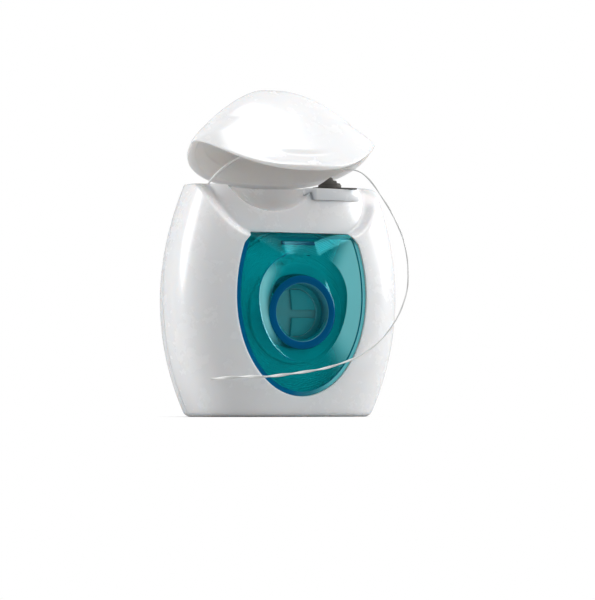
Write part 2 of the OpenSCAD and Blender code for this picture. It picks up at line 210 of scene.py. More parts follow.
def count(piece):
    piece.data.calc_loop_triangles()
    low = np.array([v.co for v in piece.data.vertices]).min(axis=0) * 1000
    high = np.array([v.co for v in piece.data.vertices]).max(axis=0) * 1000
    print(piece.name, len(piece.data.loop_triangles), "triangles,", low.round(1), high.round(1), "mm")


# %% [markdown]
# ## The free floss
# Floss is a bundle of waxed filaments, pressed into a band that twists as it hangs. Each free
# stretch is a mesh tube along a smooth curve through chosen points. Its section is an oval that
# turns slowly, so that the thread looks thin in one place and wide in another, as in the picture.
# The route repeats the solid's. The UV map runs along the thread, for the filaments' pattern.

# %% Draw the floss from the outlet to the cut end
OUTLET = (-14.5, 0, 42.2)
HAND_OVER = (15.2, -11, 41.4)
FEED_ROUTE = [(-16.1, 0, 20), (-15.6, 0, 27), (-14.8, 0, 33), (-14.5, 0, 37), OUTLET]
LOOP_ROUTE = [
    OUTLET, (-14.2, -0.5, 43.2), (-12.5, -2, 45.4), (-9.5, -3.8, 47.6), (-5, -4.8, 48.9),
    (0, -5.7, 49), (4.4, -7.2, 47.9), (7.6, -8.6, 46.4), (9, -9.6, 45.5), (10.2, -10.4, 45.4),
    (11.6, -10.9, 44.9), (13.2, -11, 43.7), HAND_OVER,
]
TAIL_ROUTE = [
    HAND_OVER, (17.2, -11.1, 38.6), (19, -11.1, 35.6), (20.2, -11.1, 33), (21, -11.1, 30),
    (21.3, -11.1, 27), (21.2, -11.1, 24), (20.5, -11.1, 21.4), (19.2, -11.1, 18.6),
    (17.2, -11.1, 15.8), (14.6, -11.1, 13.3), (11.2, -11, 11.2), (7.4, -10.95, 9.8),
    (3.6, -10.95, 8.8), (-1, -10.95, 8.1), (-5, -10.9, 7.6), (-8.4, -10.75, 7.3),
    (-11.5, -10.35, 7.3), (-14.5, -9.6, 7.1), (-17.7, -8.2, 6.9),
]


def curve_through(route, per_step=12):
    """Catmull-Rom curve through the points of a route."""
    p = np.array(route, float)
    last = len(p) - 1
    line = []
    for i in range(last):
        a, b, c, d = p[max(0, i - 1)], p[i], p[i + 1], p[min(last, i + 2)]
        for s in np.arange(per_step) / per_step:
            line.append((2 * b + s * (c - a) + s**2 * (2 * a - 5 * b + 4 * c - d)
                         + s**3 * (3 * b - a - 3 * c + d)) / 2)
    return np.array(line + [p[last]])


def length_of(line):
    return float(np.linalg.norm(np.diff(line, axis=0), axis=1).sum())


def band_along(name, line, width, thick, turns, first_turn=0.0, count_around=16):
    """A band of an oval section that turns along a line; width and thick are values for each point."""
    along = np.gradient(line, axis=0)
    along /= np.linalg.norm(along, axis=1)[:, None]
    side = np.cross(along, [0.0, 1.0, 0.0])
    side /= np.linalg.norm(side, axis=1)[:, None]
    front = np.cross(along, side)
    run = np.r_[0, np.cumsum(np.linalg.norm(np.diff(line, axis=0), axis=1))]
    spin = 2 * math.pi * (first_turn + turns * run / run[-1])
    wide = np.cos(spin)[:, None] * side + np.sin(spin)[:, None] * front
    flat = -np.sin(spin)[:, None] * side + np.cos(spin)[:, None] * front
    points = []
    for i in range(len(line)):
        a = 2 * math.pi * np.arange(count_around) / count_around
        points.append(line[i] + np.outer(np.cos(a) * width[i] / 2, wide[i])
                      + np.outer(np.sin(a) * thick[i] / 2, flat[i]))
    faces = skin_faces(len(line), count_around)
    start, end = len(line) * count_around, len(line) * count_around + 1
    for c in range(count_around):
        d = (c + 1) % count_around
        faces.append((d, c, start))
        faces.append(((len(line) - 1) * count_around + c, (len(line) - 1) * count_around + d, end))
    piece = make_piece(name, np.vstack(points + [line[:1], line[-1:]]), faces, 60)
    layer = piece.data.uv_layers.new(name="along")
    around = np.arange(count_around) / count_around
    u_of = np.r_[np.repeat(run, count_around), 0, run[-1]]
    v_of = np.r_[np.tile(around, len(line)), 0.5, 0.5]
    loops = np.zeros(len(piece.data.loops), int)
    piece.data.loops.foreach_get("vertex_index", loops)
    uv = np.c_[u_of[loops], v_of[loops]]
    for f in piece.data.polygons:
        span = uv[f.loop_start:f.loop_start + f.loop_total, 1]
        span[span < span.max() - 0.5] += 1
    layer.data.foreach_set("uv", uv.ravel())
    return piece


loop_line, tail_line, feed_line = (curve_through(r) for r in (LOOP_ROUTE, TAIL_ROUTE, FEED_ROUTE))
s = np.linspace(0, 1, len(loop_line))
floss_loop = band_along("floss_loop_band", loop_line, mix(0.5, 0.36, s), mix(0.36, 0.26, s), 3.2, 0.1)
s = np.linspace(0, 1, len(tail_line))
tail_width = np.interp(s, [0, 0.25, 0.5, 0.72, 0.9, 1], [0.36, 0.3, 0.34, 0.5, 0.66, 0.72])
tail_thick = np.interp(s, [0, 0.25, 0.5, 0.72, 0.9, 1], [0.26, 0.26, 0.26, 0.3, 0.32, 0.3])
floss_tail = band_along("floss_tail_band", tail_line, tail_width, tail_thick, 6.5, 0.3)
s = np.ones(len(feed_line))
floss_feed = band_along("floss_feed_band", feed_line, 0.42 * s, 0.36 * s, 2.0)

for piece, node, line, end in (
    (floss_loop, "floss_loop", loop_line, "object"), (floss_tail, "floss_tail", tail_line, "bare"),
    (floss_feed, "floss_feed", feed_line, None),
):
    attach(piece, "body")
    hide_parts(node)
    if end:
        tuple(line[0] / 1000)
        length_of(line) / 1000
        [tuple(p / 1000) for p in line]
    print(piece.name, "length", round(length_of(line), 1), "mm")
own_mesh(floss_loop)

# %% [markdown]
# ## The body's form
# The body is an egg that is cut off flat below and above. Seen from the front its sides are one arc,
# seen from the side its faces are flatter arcs, and each level section is a rounded square whose
# exponent is 3. Such a rule gives every point of the skin directly, so no modelling by eye is
# needed, and the same rule serves the shells, the window and the closed lid that has to fit them.

# %% The egg in numbers
HALF_W, BELLY_Z, SIDE_R = 22.75, 22.1, 48.6
FRONT_D, BACK_D, FRONT_R, BACK_R, BACK_LOW_Z = 10.7, 10.5, 180, 120, 10.1
DECK_Z, DECK_RISE, SQUARE, WALL, PART_Y, BASE_ROUND = 42, 0.6, 3, 1.6, 2, 0.9
LID_GAP, LID_WALL, SEAT_BACK, SEAT_FLAT, SEAT_DEEPENING = 0.2, 1.4, 1.3, 0.5, 1.1
WINDOW_TOP = 33.6
SEAT_LOW_Z, SEAT_HIGH_Z = 33.2, 34.8


def drop(r, d):
    return r - np.sqrt(r * r - d * d)


def base_inset(z):
    z = np.asarray(z, float)
    return np.where(z < BASE_ROUND, drop(BASE_ROUND, np.clip(BASE_ROUND - z, 0, BASE_ROUND)), 0)


def side_at(z):
    return HALF_W - drop(SIDE_R, z - BELLY_Z) - base_inset(z)


def front_at(z):
    return FRONT_D - drop(FRONT_R, z - BELLY_Z) - base_inset(z)


def back_at(z):
    return BACK_D - drop(BACK_R, z - BACK_LOW_Z) - base_inset(z)


def front_y(x, z, inset):
    share = np.abs(x) / (side_at(z) - inset)
    return -(front_at(z) - inset) * np.clip(1 - share**SQUARE, 0, 1) ** (1 / SQUARE)


def deck_over(x):
    return DECK_Z + DECK_RISE * np.minimum(1, np.abs(x) / side_at(DECK_Z)) ** 2


def unit_section(angle, n=SQUARE):
    c, s = np.cos(angle), np.sin(angle)
    r = (np.abs(c) ** n + np.abs(s) ** n) ** (-1 / n)
    return r * c, r * s


body_depth = float(front_at(BELLY_Z) + back_at(BACK_LOW_Z))
print("body", 2 * HALF_W, "mm wide,", round(body_depth, 1), "mm deep")

# %% [markdown]
# ## The front shell
# The front half carries the recess that the lid's skirt fills when it is shut. Its border is a soft
# ridge that swings up from the window to the ends of the deck. A boolean cut would leave that ridge
# razor sharp, so the recess is part of the rule for the skin: above the ridge's line the surface
# sinks in over about a millimetre. The scoop for the fingertip is the far side of a ball that the
# skin is pushed back to, with a soft edge. Only the hollow inside and the window's opening are cut.

# %% Skin of a half shell
SCOOP_X, SCOOP_W, SCOOP_D = 4.8, 8.7, 4.5
SCOOP_R = (SCOOP_W**2 + SCOOP_D**2) / (2 * SCOOP_D)
SCOOP_CENTRE = (-SCOOP_X, -float(front_at(DECK_Z)) + 0.6, DECK_Z - SCOOP_D + SCOOP_R)
EDGE, SEAM_GROOVE = 0.22, 0.09


def seat_inset(z):
    return LID_WALL + LID_GAP + 0.1 + SEAT_DEEPENING * ramp(z, WINDOW_TOP, DECK_Z) ** 1.2


def sunk(ux, z):
    """How far the skin lies inside the egg at a share ux of the half width and a height z."""
    across = ramp(np.abs(ux), SEAT_FLAT, 1) ** 1.4
    line = mix(WINDOW_TOP, DECK_Z + DECK_RISE * ux**2, across) - 2 * LID_GAP
    start, end = -0.35, mix(0.75, 0.3, across)
    return seat_inset(z) * smooth(ramp(z - line, start, end))


def soft_max(a, b, k):
    h = np.clip(k - np.abs(a - b), 0, None) / k
    return np.maximum(a, b) + h * h * k / 4


def wall_rows(front, rows):
    """Heights of the rows from the base to the deck, each with its share of the edge's rounding."""
    base = [(BASE_ROUND * (1 - math.cos(a)), 0.0) for a in np.linspace(0, math.pi / 2, 9)]
    low = [(z, 0.0) for z in np.linspace(BASE_ROUND, 32, rows // 3)[1:]]
    high = [(z, 0.0) for z in np.linspace(32, DECK_Z - EDGE, rows - len(low))[1:]]
    edge = [(DECK_Z - EDGE * (1 - math.sin(a)), EDGE * (1 - math.cos(a)))
            for a in np.linspace(0, math.pi / 2, 5)[1:]]
    return base + low + (high if front else high[::4] + high[-1:]) + edge


def half_skin(front, columns, rows):
    """A half shell's outside: base, wall and deck, in rows that start and end at the parting plane."""
    wall = []
    i = np.arange(columns + 1)
    for z, edge in wall_rows(front, rows):
        part = PART_Y / (back_at(z) - edge)
        p = math.atan2(part, (1 - part**SQUARE) ** (1 / SQUARE))
        first, sweep = (-math.pi - p, math.pi + 2 * p) if front else (p, math.pi - 2 * p)
        angle = first + sweep * i / columns
        ux, uy = unit_section(angle)
        height = z + DECK_RISE * ux**2 * ramp(z, 0.84 * DECK_Z, DECK_Z)
        to_part = np.minimum(i, columns - i) / columns * math.pi * 14
        groove = SEAM_GROOVE * (1 - smooth(ramp(to_part, 0, 0.35)))
        inset = edge + groove + (sunk(ux, z) if front else 0)
        x = (side_at(z) - inset) * ux
        y = np.where(uy < 0, front_at(z) - inset, back_at(z) - inset) * uy
        if front:
            cx, cy, cz = SCOOP_CENTRE
            reach = SCOOP_R**2 - (x - cx) ** 2 - (height - cz) ** 2
            ball = np.where(reach > 0, cy + edge + np.sqrt(np.clip(reach, 0, None)), -50)
            y = np.where(uy < 0, soft_max(y, ball, 0.35), y)
        y[[0, -1]] = PART_Y
        wall.append(np.c_[x, y, height])
    chord = np.linspace(wall[0][0, 0], wall[0][-1, 0], columns + 1) * 0.985
    plate = [np.c_[mix(wall[0][:, 0], chord, f), mix(wall[0][:, 1], PART_Y, f), 0 * chord]
             for f in (1, 0.66, 0.33)]
    chord = np.linspace(wall[-1][0, 0], wall[-1][-1, 0], columns + 1) * 0.985
    deck = []
    for f in (0.04, 0.12, 0.25, 0.45, 0.7, 1):
        x = mix(wall[-1][:, 0], chord, f)
        deck.append(np.c_[x, mix(wall[-1][:, 1], PART_Y, f), deck_over(x)])
    return plate + wall + deck


def half_shell(name, front, columns, rows):
    skin = half_skin(front, columns, rows)
    count_rows, count_columns = len(skin), columns + 1
    faces = skin_faces(count_rows, count_columns, closed=False)
    rim = list(range(count_columns))
    rim += [(r + 1) * count_columns - 1 for r in range(1, count_rows)]
    rim += [(count_rows - 1) * count_columns + c for c in range(count_columns - 2, -1, -1)]
    rim += [r * count_columns for r in range(count_rows - 2, 0, -1)]
    return make_piece(name, np.vstack(skin), faces + [tuple(reversed(rim))])


def hollow(name, top, inset_at, columns=96):
    """The room inside a shell, as a closed shape that reaches through the parting plane."""
    angle = 2 * math.pi * np.arange(columns) / columns
    ux, uy = unit_section(angle)
    rows = []
    for z in np.r_[WALL, np.linspace(WALL + 1, SEAT_LOW_Z, 12), np.linspace(WINDOW_TOP, top, 5)]:
        inset = inset_at(z)
        rows.append(np.c_[(side_at(z) - inset) * ux,
                          np.where(uy < 0, front_at(z) - inset, back_at(z) - inset) * uy, 0 * ux + z])
    faces = skin_faces(len(rows), columns)
    last = range((len(rows) - 1) * columns, len(rows) * columns)
    faces += [tuple(range(columns)), tuple(reversed(last))]
    return make_piece(name, np.vstack(rows), faces)


# %% The opening, the hollow and the outlet
WINDOW_W, WINDOW_Z, WINDOW_LOW, WINDOW_HIGH = 13.25, 22, 18.2, 20
OUTLET_DIA = 1.8
UNDER_DECK = DECK_Z - SCOOP_D - 1.3
SEAT_WALL = LID_WALL + LID_GAP + 0.1 + SEAT_BACK


def window_outline(angle, grown=0.0):
    """The window in front view: an oval whose top is cut straight, with a bevel at each top corner."""
    x = (WINDOW_W + grown) * np.cos(angle)
    z = WINDOW_Z + (np.where(np.sin(angle) < 0, WINDOW_LOW, WINDOW_HIGH) + grown) * np.sin(angle)
    top = WINDOW_TOP + grown
    return x, np.minimum(z, np.minimum(top, top - 1.15 * (np.abs(x) - 0.75 * WINDOW_W)))


def between(name, ring, other_ring):
    """A closed shape between two rings of points."""
    n = len(ring)
    faces = skin_faces(2, n) + [tuple(reversed(range(n))), tuple(range(n, 2 * n))]
    return make_piece(name, np.vstack([ring, other_ring]), faces)


def prism(name, x, z, y_from, y_to):
    return between(name, np.c_[x, 0 * x + y_from, z], np.c_[x, 0 * x + y_to, z])


def slab(name, x, y, z_from, z_to):
    return between(name, np.c_[x, y, 0 * x + z_from], np.c_[x, y, 0 * x + z_to])


def rod(name, centre, radius, bottom, top, sides=48):
    a = 2 * math.pi * np.arange(sides) / sides
    return slab(name, centre[0] + radius * np.cos(a), centre[1] + radius * np.sin(a), bottom, top)


def wall_behind_seat(z):
    return mix(WALL, SEAT_WALL, ramp(z, SEAT_LOW_Z, SEAT_HIGH_Z))


front_shell = half_shell("front_shell_moulding", True, 250, 150)
carve(front_shell, hollow("room_front", UNDER_DECK, wall_behind_seat))
outline = window_outline(2 * math.pi * (np.arange(144) + 0.5) / 144, 0.08)
carve(front_shell, prism("opening", *outline, -FRONT_D + 4.2, -FRONT_D - 4))
carve(front_shell, rod("outlet", (OUTLET[0], 0), OUTLET_DIA / 2, UNDER_DECK - 1, DECK_Z + 2))
shade(front_shell, 38)
count(front_shell)

# %% [markdown]
# ## The cutter's block
# A low block of the same moulding stands in the recess on the right and backs up the steel cutter.
# Its front follows the recess at the gap that the closed lid needs, its left end is a slant. It is
# a small prism with rounded edges, made by a bevel.

# %% Make the block
BLOCK_X, BLOCK_L, BLOCK_H = 4, 9.8, 2.1


def bevelled(piece, width, segments=2, angle=30):
    step = piece.modifiers.new("edge", "BEVEL")
    step.width, step.segments, step.angle_limit = width / 1000, segments, math.radians(angle)
    step.limit_method = "ANGLE"
    return with_modifiers(piece)


x = BLOCK_X + BLOCK_L * np.arange(25) / 24
face_y = front_y(x, DECK_Z, LID_WALL + 2 * LID_GAP)
behind = float(front_y(0, DECK_Z, float(seat_inset(DECK_Z)))) + 1
block = slab("block", np.r_[BLOCK_X - 1.8, x, x[-1], BLOCK_X - 1.8],
             np.r_[face_y[0] + 1.6, face_y, behind, behind], DECK_Z - BLOCK_H, DECK_Z + 0.02)
bevelled(block, 0.16, 3)
shade(block, 40)
join(front_shell, block)
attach(front_shell, "body")
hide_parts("front_shell")
count(front_shell)

# %% [markdown]
# ## The rear shell
# The rear half is the same skin without a recess. Inside it a boss and a pin with a cross-shaped
# split carry the spool's hub; the pin's end is what one sees in the middle of the window.

# %% Make the rear shell and its pin
HUB_Z, HUB_DIA, HUB_BORE, PIN_BORE, HUB_STEP = 19.1, 13.4, 10.6, 8.8, 3.1
HUB_FRONT = -(FRONT_D - 0.3 - 0.5) - 0.05
HUB_BACK = float(back_at(HUB_Z)) - WALL - 1.3
CORE_DIA = 18.8


def turned(name, profile, sides=96, looped=True, crease=32):
    """A shape turned about the spool's axis from a closed profile of (radius, y) points."""
    a = 2 * math.pi * np.arange(sides) / sides
    rows = [np.c_[r * np.cos(a), 0 * a + y, HUB_Z + r * np.sin(a)] for r, y in profile]
    return make_piece(name, np.vstack(rows), skin_faces(len(rows), sides, looped=looped), crease)


rear_shell = half_shell("rear_shell_moulding", False, 170, 110)
carve(rear_shell, hollow("room_rear", DECK_Z - WALL, lambda z: WALL))
PIN_R = PIN_BORE / 2 - 0.05
pin_front, pin_back = HUB_FRONT + HUB_STEP + 1.3, float(back_at(HUB_Z)) - WALL / 2
pin = turned("pin", [(0.02, pin_front), (PIN_R - 0.3, pin_front), (PIN_R - 0.08, pin_front + 0.08),
                     (PIN_R, pin_front + 0.3), (PIN_R, pin_back), (0.02, pin_back)])
for wide, high in ((PIN_BORE, 0.55), (0.55, PIN_BORE)):
    carve(pin, prism("split", np.array([-wide, wide, wide, -wide]),
                     HUB_Z + np.array([-high, -high, high, high]), pin_front - 1, pin_front + 7))
shade(pin, 35)
boss_r = CORE_DIA / 2 - 0.3
boss_end = float(back_at(HUB_Z + boss_r)) - WALL / 2
boss = turned("boss", [(PIN_R - 0.5, HUB_BACK + 0.1), (boss_r, HUB_BACK + 0.1), (boss_r, boss_end),
                       (PIN_R - 0.5, pin_back)])
join(rear_shell, pin, boss)
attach(rear_shell, "body")
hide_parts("rear_shell")
shade(rear_shell, 35)
count(rear_shell)

# %% [markdown]
# ## The lid
# The lid is drawn closed and then swung open round its hinge, exactly as the real one moves. Its
# rule has two parts: sections that grow squarer towards the crown, and a front and a back depth that
# shrink at different rates, which makes the dome lean. The skirt hangs down in front and gets thinner
# to its rounded rim, and the thumb lip is a small wave on it. One skin runs up the inside, round the
# rim and up the outside, so the wall is closed. A value on each point marks the inside, for the finish.

# %% Rule for the lid
LID_H, CORNER_Y, CROWN_Y, SKIRT_T, LID_FLARE = 12.7, 4.85, 2.5, 0.7, 0.4
SKIRT_Z, LID_OPEN, THUMB_LIP, THUMB_W = 32.6, 38.4, 0.7, 6.5
RIM_Z = DECK_Z + DECK_RISE + LID_GAP / 4
LID_TOP = RIM_Z + LID_H
LID_SIDE = float(side_at(DECK_Z)) + LID_FLARE
LID_FRONT = float(front_at(SKIRT_Z)) - 0.1
HINGE_Y, HINGE_Z = float(back_at(DECK_Z)) + 0.5, DECK_Z + LID_GAP / 2
LID_BACK = HINGE_Y - 0.1


def shrink(u, m):
    return np.clip(1 - u**m, 0, None) ** (1 / m)


def lid_square(u):
    return np.maximum(2.3, 1.28 + 3.8 * u)


def bulge(c, n):
    return np.sign(c) * np.abs(c) ** (2 / n)


def lid_edge(t):
    x = LID_SIDE * bulge(np.cos(t), 2.3)
    skirt = mix(SKIRT_Z, RIM_Z, np.minimum(1, np.abs(x) / LID_SIDE) ** 2.44)
    return np.where(np.sin(t) < 0, skirt, deck_over(x) + LID_GAP / 2)


def lip_at(x, above):
    lip = THUMB_LIP * np.exp(-((x / THUMB_W) ** 2)) * (1 - smooth(ramp(above, 0.5, 2.2)))
    dent = 0.3 * np.exp(-((x / (THUMB_W - 1)) ** 2)) * (1 - smooth(ramp(np.abs(above - 3.4), 0, 1.6)))
    return lip - dent


def lid_point(t, z, w):
    front_side = np.sin(t) < 0
    u = ramp(z, RIM_Z, LID_TOP - w)
    above = z - lid_edge(t)
    thin = np.where(front_side, 1 - np.maximum(ramp(above, 0, 3), np.abs(np.cos(t)) ** 3), 0)
    wall = mix(w, min(w, SKIRT_T), thin)
    gx, gy = shrink(u, 1.25), shrink(u, 3.46)
    x = (LID_SIDE - wall) * gx * bulge(np.cos(t), lid_square(u))
    front = CROWN_Y + (LID_FRONT - wall - CROWN_Y) * gy
    middle = mix(CROWN_Y, CORNER_Y, gy)
    back = (LID_BACK - wall + CROWN_Y) * gy - CROWN_Y
    lip = np.where(front_side, lip_at(x, above), 0) if w == 0 else 0
    y = np.where(front_side, front - middle, back + middle) * bulge(np.sin(t), lid_square(u))
    return np.c_[x, y - middle - lip, z]


def swing(points, degrees):
    """Turns points in millimetres round the hinge; positive opens the lid."""
    a = math.radians(degrees)
    y, z = points[:, 1] - HINGE_Y, points[:, 2] - HINGE_Z
    return np.c_[points[:, 0], HINGE_Y + y * math.cos(a) + z * math.sin(a),
                 HINGE_Z - y * math.sin(a) + z * math.cos(a)]


# %% Draw the lid and swing it open
LID_COLUMNS, RIM_ROUND = 260, 0.28
even = 2 * math.pi * (np.arange(LID_COLUMNS) + 0.5) / LID_COLUMNS
ux, uy = unit_section(even, 3.2)
angle = np.arctan2(np.sign(uy) * np.abs(uy) ** 1.6, np.sign(ux) * np.abs(ux) ** 1.6)
edge = lid_edge(angle)


def lid_row(q, w):
    """A row at share q of the way from the crown down to the rim."""
    top = LID_TOP - w
    return lid_point(angle, top - (top - edge - RIM_ROUND) * q, w)


shares = np.sin(np.linspace(0.06, math.pi / 2, 84)) ** 1.15
inner, outer = [lid_row(q, LID_WALL) for q in shares], [lid_row(q, 0) for q in shares]
rim = []
for a in np.linspace(0, math.pi, 11)[1:-1]:
    z = edge + RIM_ROUND * (1 - math.sin(a))
    rim.append(mix(lid_point(angle, z, LID_WALL), lid_point(angle, z, 0), (1 - math.cos(a)) / 2))
rows = inner + rim + outer[::-1]
points = np.vstack(rows + [[[0, -CROWN_Y, LID_TOP - LID_WALL]], [[0, -CROWN_Y, LID_TOP]]])
faces = skin_faces(len(rows), LID_COLUMNS)
poles, last = len(points) - 2, (len(rows) - 1) * LID_COLUMNS
for c in range(LID_COLUMNS):
    d = (c + 1) % LID_COLUMNS
    faces += [(d, c, poles), (last + c, last + d, poles + 1)]
lid = make_piece("lid_moulding", swing(points, LID_OPEN), faces, 50)
inside = np.zeros(len(points))
inside[:len(inner) * LID_COLUMNS] = 1
inside[len(inner) * LID_COLUMNS:(len(inner) + len(rim)) * LID_COLUMNS] = np.repeat(
    np.linspace(1, 0, len(rim)), LID_COLUMNS)
inside[poles] = 1
mark_points(lid, inside=inside)
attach(lid, "lid")
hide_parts("lid")
count(lid)

# %% [markdown]
# ## The living hinge
# Lid and body are one moulding. The strip between them is so thin that it bends. It is drawn as a ribbon
# with a thinner line across its middle, bent to the lid's open angle, and it goes with the body.

# %% Draw the hinge strip
HINGE_W, HINGE_T, HINGE_REACH, HINGE_END = 13.6, 0.35, 0.9, 0.3
a = math.radians(LID_OPEN)
low_z = DECK_Z - HINGE_REACH
low = np.array([HINGE_Y - 0.05 + float(back_at(low_z) - back_at(DECK_Z)), low_z])
knee = np.array([HINGE_Y - 0.03, HINGE_Z])
high = knee + HINGE_REACH * np.array([math.sin(a), math.cos(a)])
f = np.linspace(0, 1, 25)
line = np.outer((1 - f) ** 2, low) + np.outer(2 * f * (1 - f), knee) + np.outer(f**2, high)
tangent = np.gradient(line, axis=0)
tangent /= np.linalg.norm(tangent, axis=1)[:, None]
out = np.c_[tangent[:, 1], -tangent[:, 0]]
thick = HINGE_T * (1 - 0.45 * np.exp(-(((f - 0.5) / 0.12) ** 2)))
section = np.vstack([line, (line + out * thick[:, None])[::-1]])
half = HINGE_W / 2
middle = section.mean(axis=0)
rows = []
for x in np.r_[-half, 0.08 - half, np.linspace(HINGE_END - half, half - HINGE_END, 27), half - 0.08, half]:
    near = 0.94 if abs(x) > half - 0.01 else 1.0
    rows.append(np.c_[0 * section[:, 0] + x, middle + (section - middle) * near])
n = len(section)
faces = skin_faces(len(rows), n)
for r, turned_round in ((0, False), (len(rows) - 1, True)):
    for k in range(n // 2 - 1):
        q = (r * n + k, r * n + k + 1, r * n + n - 2 - k, r * n + n - 1 - k)
        faces.append(q if turned_round else tuple(reversed(q)))
hinge_strip = make_piece("hinge_strip", np.vstack(rows), faces, 40)
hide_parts("living_hinge")
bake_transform(hinge_strip)
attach(hinge_strip, "body")
count(hinge_strip)

# %% [markdown]
# ## The window
# The window is one clear moulding: an oval plate with a shallow dish for the thumb, a hub tube in
# its middle that reaches back to carry the spool, and a lap at the top that the closed skirt covers.
# Clear plastic shows every inner face, so the skin has to be one closed surface: it runs from the
# rim over the front to the hub, through the bore, back over the tube and out again behind the plate.

# %% Skin of the window
WINDOW_SET, WINDOW_T, DISH_W, DISH_LOW, DISH_HIGH, DISH_D = 0.3, 1.3, 9, 12, 8.2, 0.5
FOLD_W, FOLD_Z = 3.5, WINDOW_TOP - 4.4
LAP_DEPTH = LID_WALL + LID_GAP + 0.25
t = 2 * math.pi * (np.arange(220) + 0.5) / 220


def lap(x, z):
    fold = FOLD_Z + 0.53 * np.clip(np.abs(x) - FOLD_W, 0, None)
    return np.minimum(LAP_DEPTH, 0.6 * np.clip(z - fold, 0, None))


def on_window(x, z, depth, back=0.0):
    return np.c_[x, front_y(x, z, WINDOW_SET + back * WINDOW_T) + np.maximum(depth, lap(x, z)), z]


def dish_line(share):
    high = np.where(np.sin(t) < 0, DISH_LOW, DISH_HIGH)
    return share * DISH_W * np.cos(t), WINDOW_Z + share * high * np.sin(t)


def hub_line(radius):
    return radius * np.cos(t), HUB_Z + radius * np.sin(t)


def dish_depth(share, back):
    """Front: a low wall at the dish's edge, then a hollow round the hub. Back: one soft step."""
    if back:
        return DISH_D * smooth(ramp(1 - share, 0, 0.2))
    wall = 0.14 * smooth(ramp(1 - share, 0, 0.03))
    return wall + 0.62 * smooth(ramp(1 - share, 0.0, 0.34)) - 0.26 * smooth(ramp(1 - share, 0.3, 0.6))


BAND = 1.1
WALL_EDGE = (0.0, 0.05, 0.12, 0.2, 0.3, 0.42, 0.55, 0.7, 0.85, 1.0, BAND)


def plate_rows(back):
    """Rows from rim to hub on one side, each with its distance from the rim and share of the dish."""
    rows = []
    for d in WALL_EDGE:
        sunk_in = 0.12 * (1 - math.sqrt(max(0.0, 1 - (1 - min(d, 0.12) / 0.12) ** 2)))
        x, z = window_outline(t, -d)
        rows.append((on_window(x, z, 0, back + (-sunk_in if back else sunk_in) / WINDOW_T), d, 2))
    border, dish = window_outline(t, -BAND), dish_line(1)
    for u in np.linspace(0.94, 0.04, 15):
        x, z = (mix(d, b, u) for d, b in zip(dish, border))
        rows.append((on_window(x, z, 0, back), 9, 1 + u))
    for share in np.r_[1, 0.993, 0.985, 0.977, 0.97, np.linspace(0.95, 0.66, 15)]:
        rows.append((on_window(*dish_line(share), dish_depth(share, back), back), 9, share))
    hub = hub_line(HUB_DIA / 2 + 0.12)
    start = dish_line(0.66)
    for u in (0.2, 0.4, 0.6, 0.8, 1):
        x, z = (mix(d, h, u) for d, h in zip(start, hub))
        rows.append((on_window(x, z, mix(dish_depth(0.66, back), DISH_D, u), back), 9, 0.6 - 0.1 * u))
    return rows


def hub_ring(radius, y):
    x, z = hub_line(radius)
    return np.c_[x, 0 * x + y, z]


R_OUT, R_BORE, R_PIN = HUB_DIA / 2, HUB_BORE / 2, PIN_BORE / 2
STEP_Y, TUBE_START_Y = HUB_FRONT + HUB_STEP, -8.1
bore = [(R_OUT - 0.04, HUB_FRONT + 0.04), (R_OUT - 0.16, HUB_FRONT), (R_BORE + 0.14, HUB_FRONT),
        (R_BORE + 0.04, HUB_FRONT + 0.04), (R_BORE, HUB_FRONT + 0.16), (R_BORE, STEP_Y - 0.1),
        (R_BORE - 0.1, STEP_Y), (R_PIN + 0.08, STEP_Y), (R_PIN, STEP_Y + 0.1), (R_PIN, HUB_BACK - 0.08),
        (R_PIN + 0.08, HUB_BACK), (R_OUT - 0.12, HUB_BACK), (R_OUT, HUB_BACK - 0.12), (R_OUT, TUBE_START_Y)]
plate, behind_plate = plate_rows(0), plate_rows(1)[::-1]
rows = [r[0] for r in plate] + [hub_ring(*p) for p in bore] + [r[0] for r in behind_plate]
window = make_piece("window_moulding", np.vstack(rows), skin_faces(len(rows), len(t), looped=True), 28)

# %% [markdown]
# ### Marks for the finish
# A clear moulding isn't of one tone, and here light and shade are also painted into its colour. The deep
# value turns the colour dark blue: partly the deeper colour of the hub's thick walls seen edge on, partly
# painted shade down the left rim and along the dish's left edge. The caught light value paints light caught
# in the walls as an opaque, lighter teal, down the right rim and in the hub. The pale value lightens that
# into painted highlights and reflections on the dish's left flank, right of the dish and on the right rim.
# A texture image could say where, but the rows of the skin already know their distance from the rim and
# their share of the dish. So each point gets these three values, which the finish reads further down.

# %% Say where the window is deep blue, and where it gets painted shade, caught light and highlights
def per_row(values):
    return np.repeat(values, len(t))


n_bore, n_behind = len(bore), len(behind_plate)
from_rim = per_row([r[1] for r in plate] + [9.0] * n_bore + [9.0] * n_behind)
share = per_row([r[2] for r in plate] + [0.0] * (n_bore + n_behind))
points, right = np.vstack(rows), np.tile(np.cos(t), len(rows))
# The rim gets painted shade on the left, a dark blue band, and painted caught light and pale light on the
# right.
to_left = 1 - ramp(points[:, 0] + 0.25 * (points[:, 2] - 8), -3, 6)
below_lap = 1 - smooth(ramp(points[:, 2], WINDOW_TOP - 2.2, WINDOW_TOP - 0.8))
band = below_lap * (1 - smooth(ramp(from_rim, 0.75, 1.0)))
# A thin dark blue line just inside the rim, on the right side.
line = np.exp(-(((from_rim - 0.85) / 0.14) ** 2))
# Painted shade: a dark line along the dish's left edge.
outline = (np.abs(share - 1) < 0.004) * smooth(ramp(-right, 0.0, 0.4))
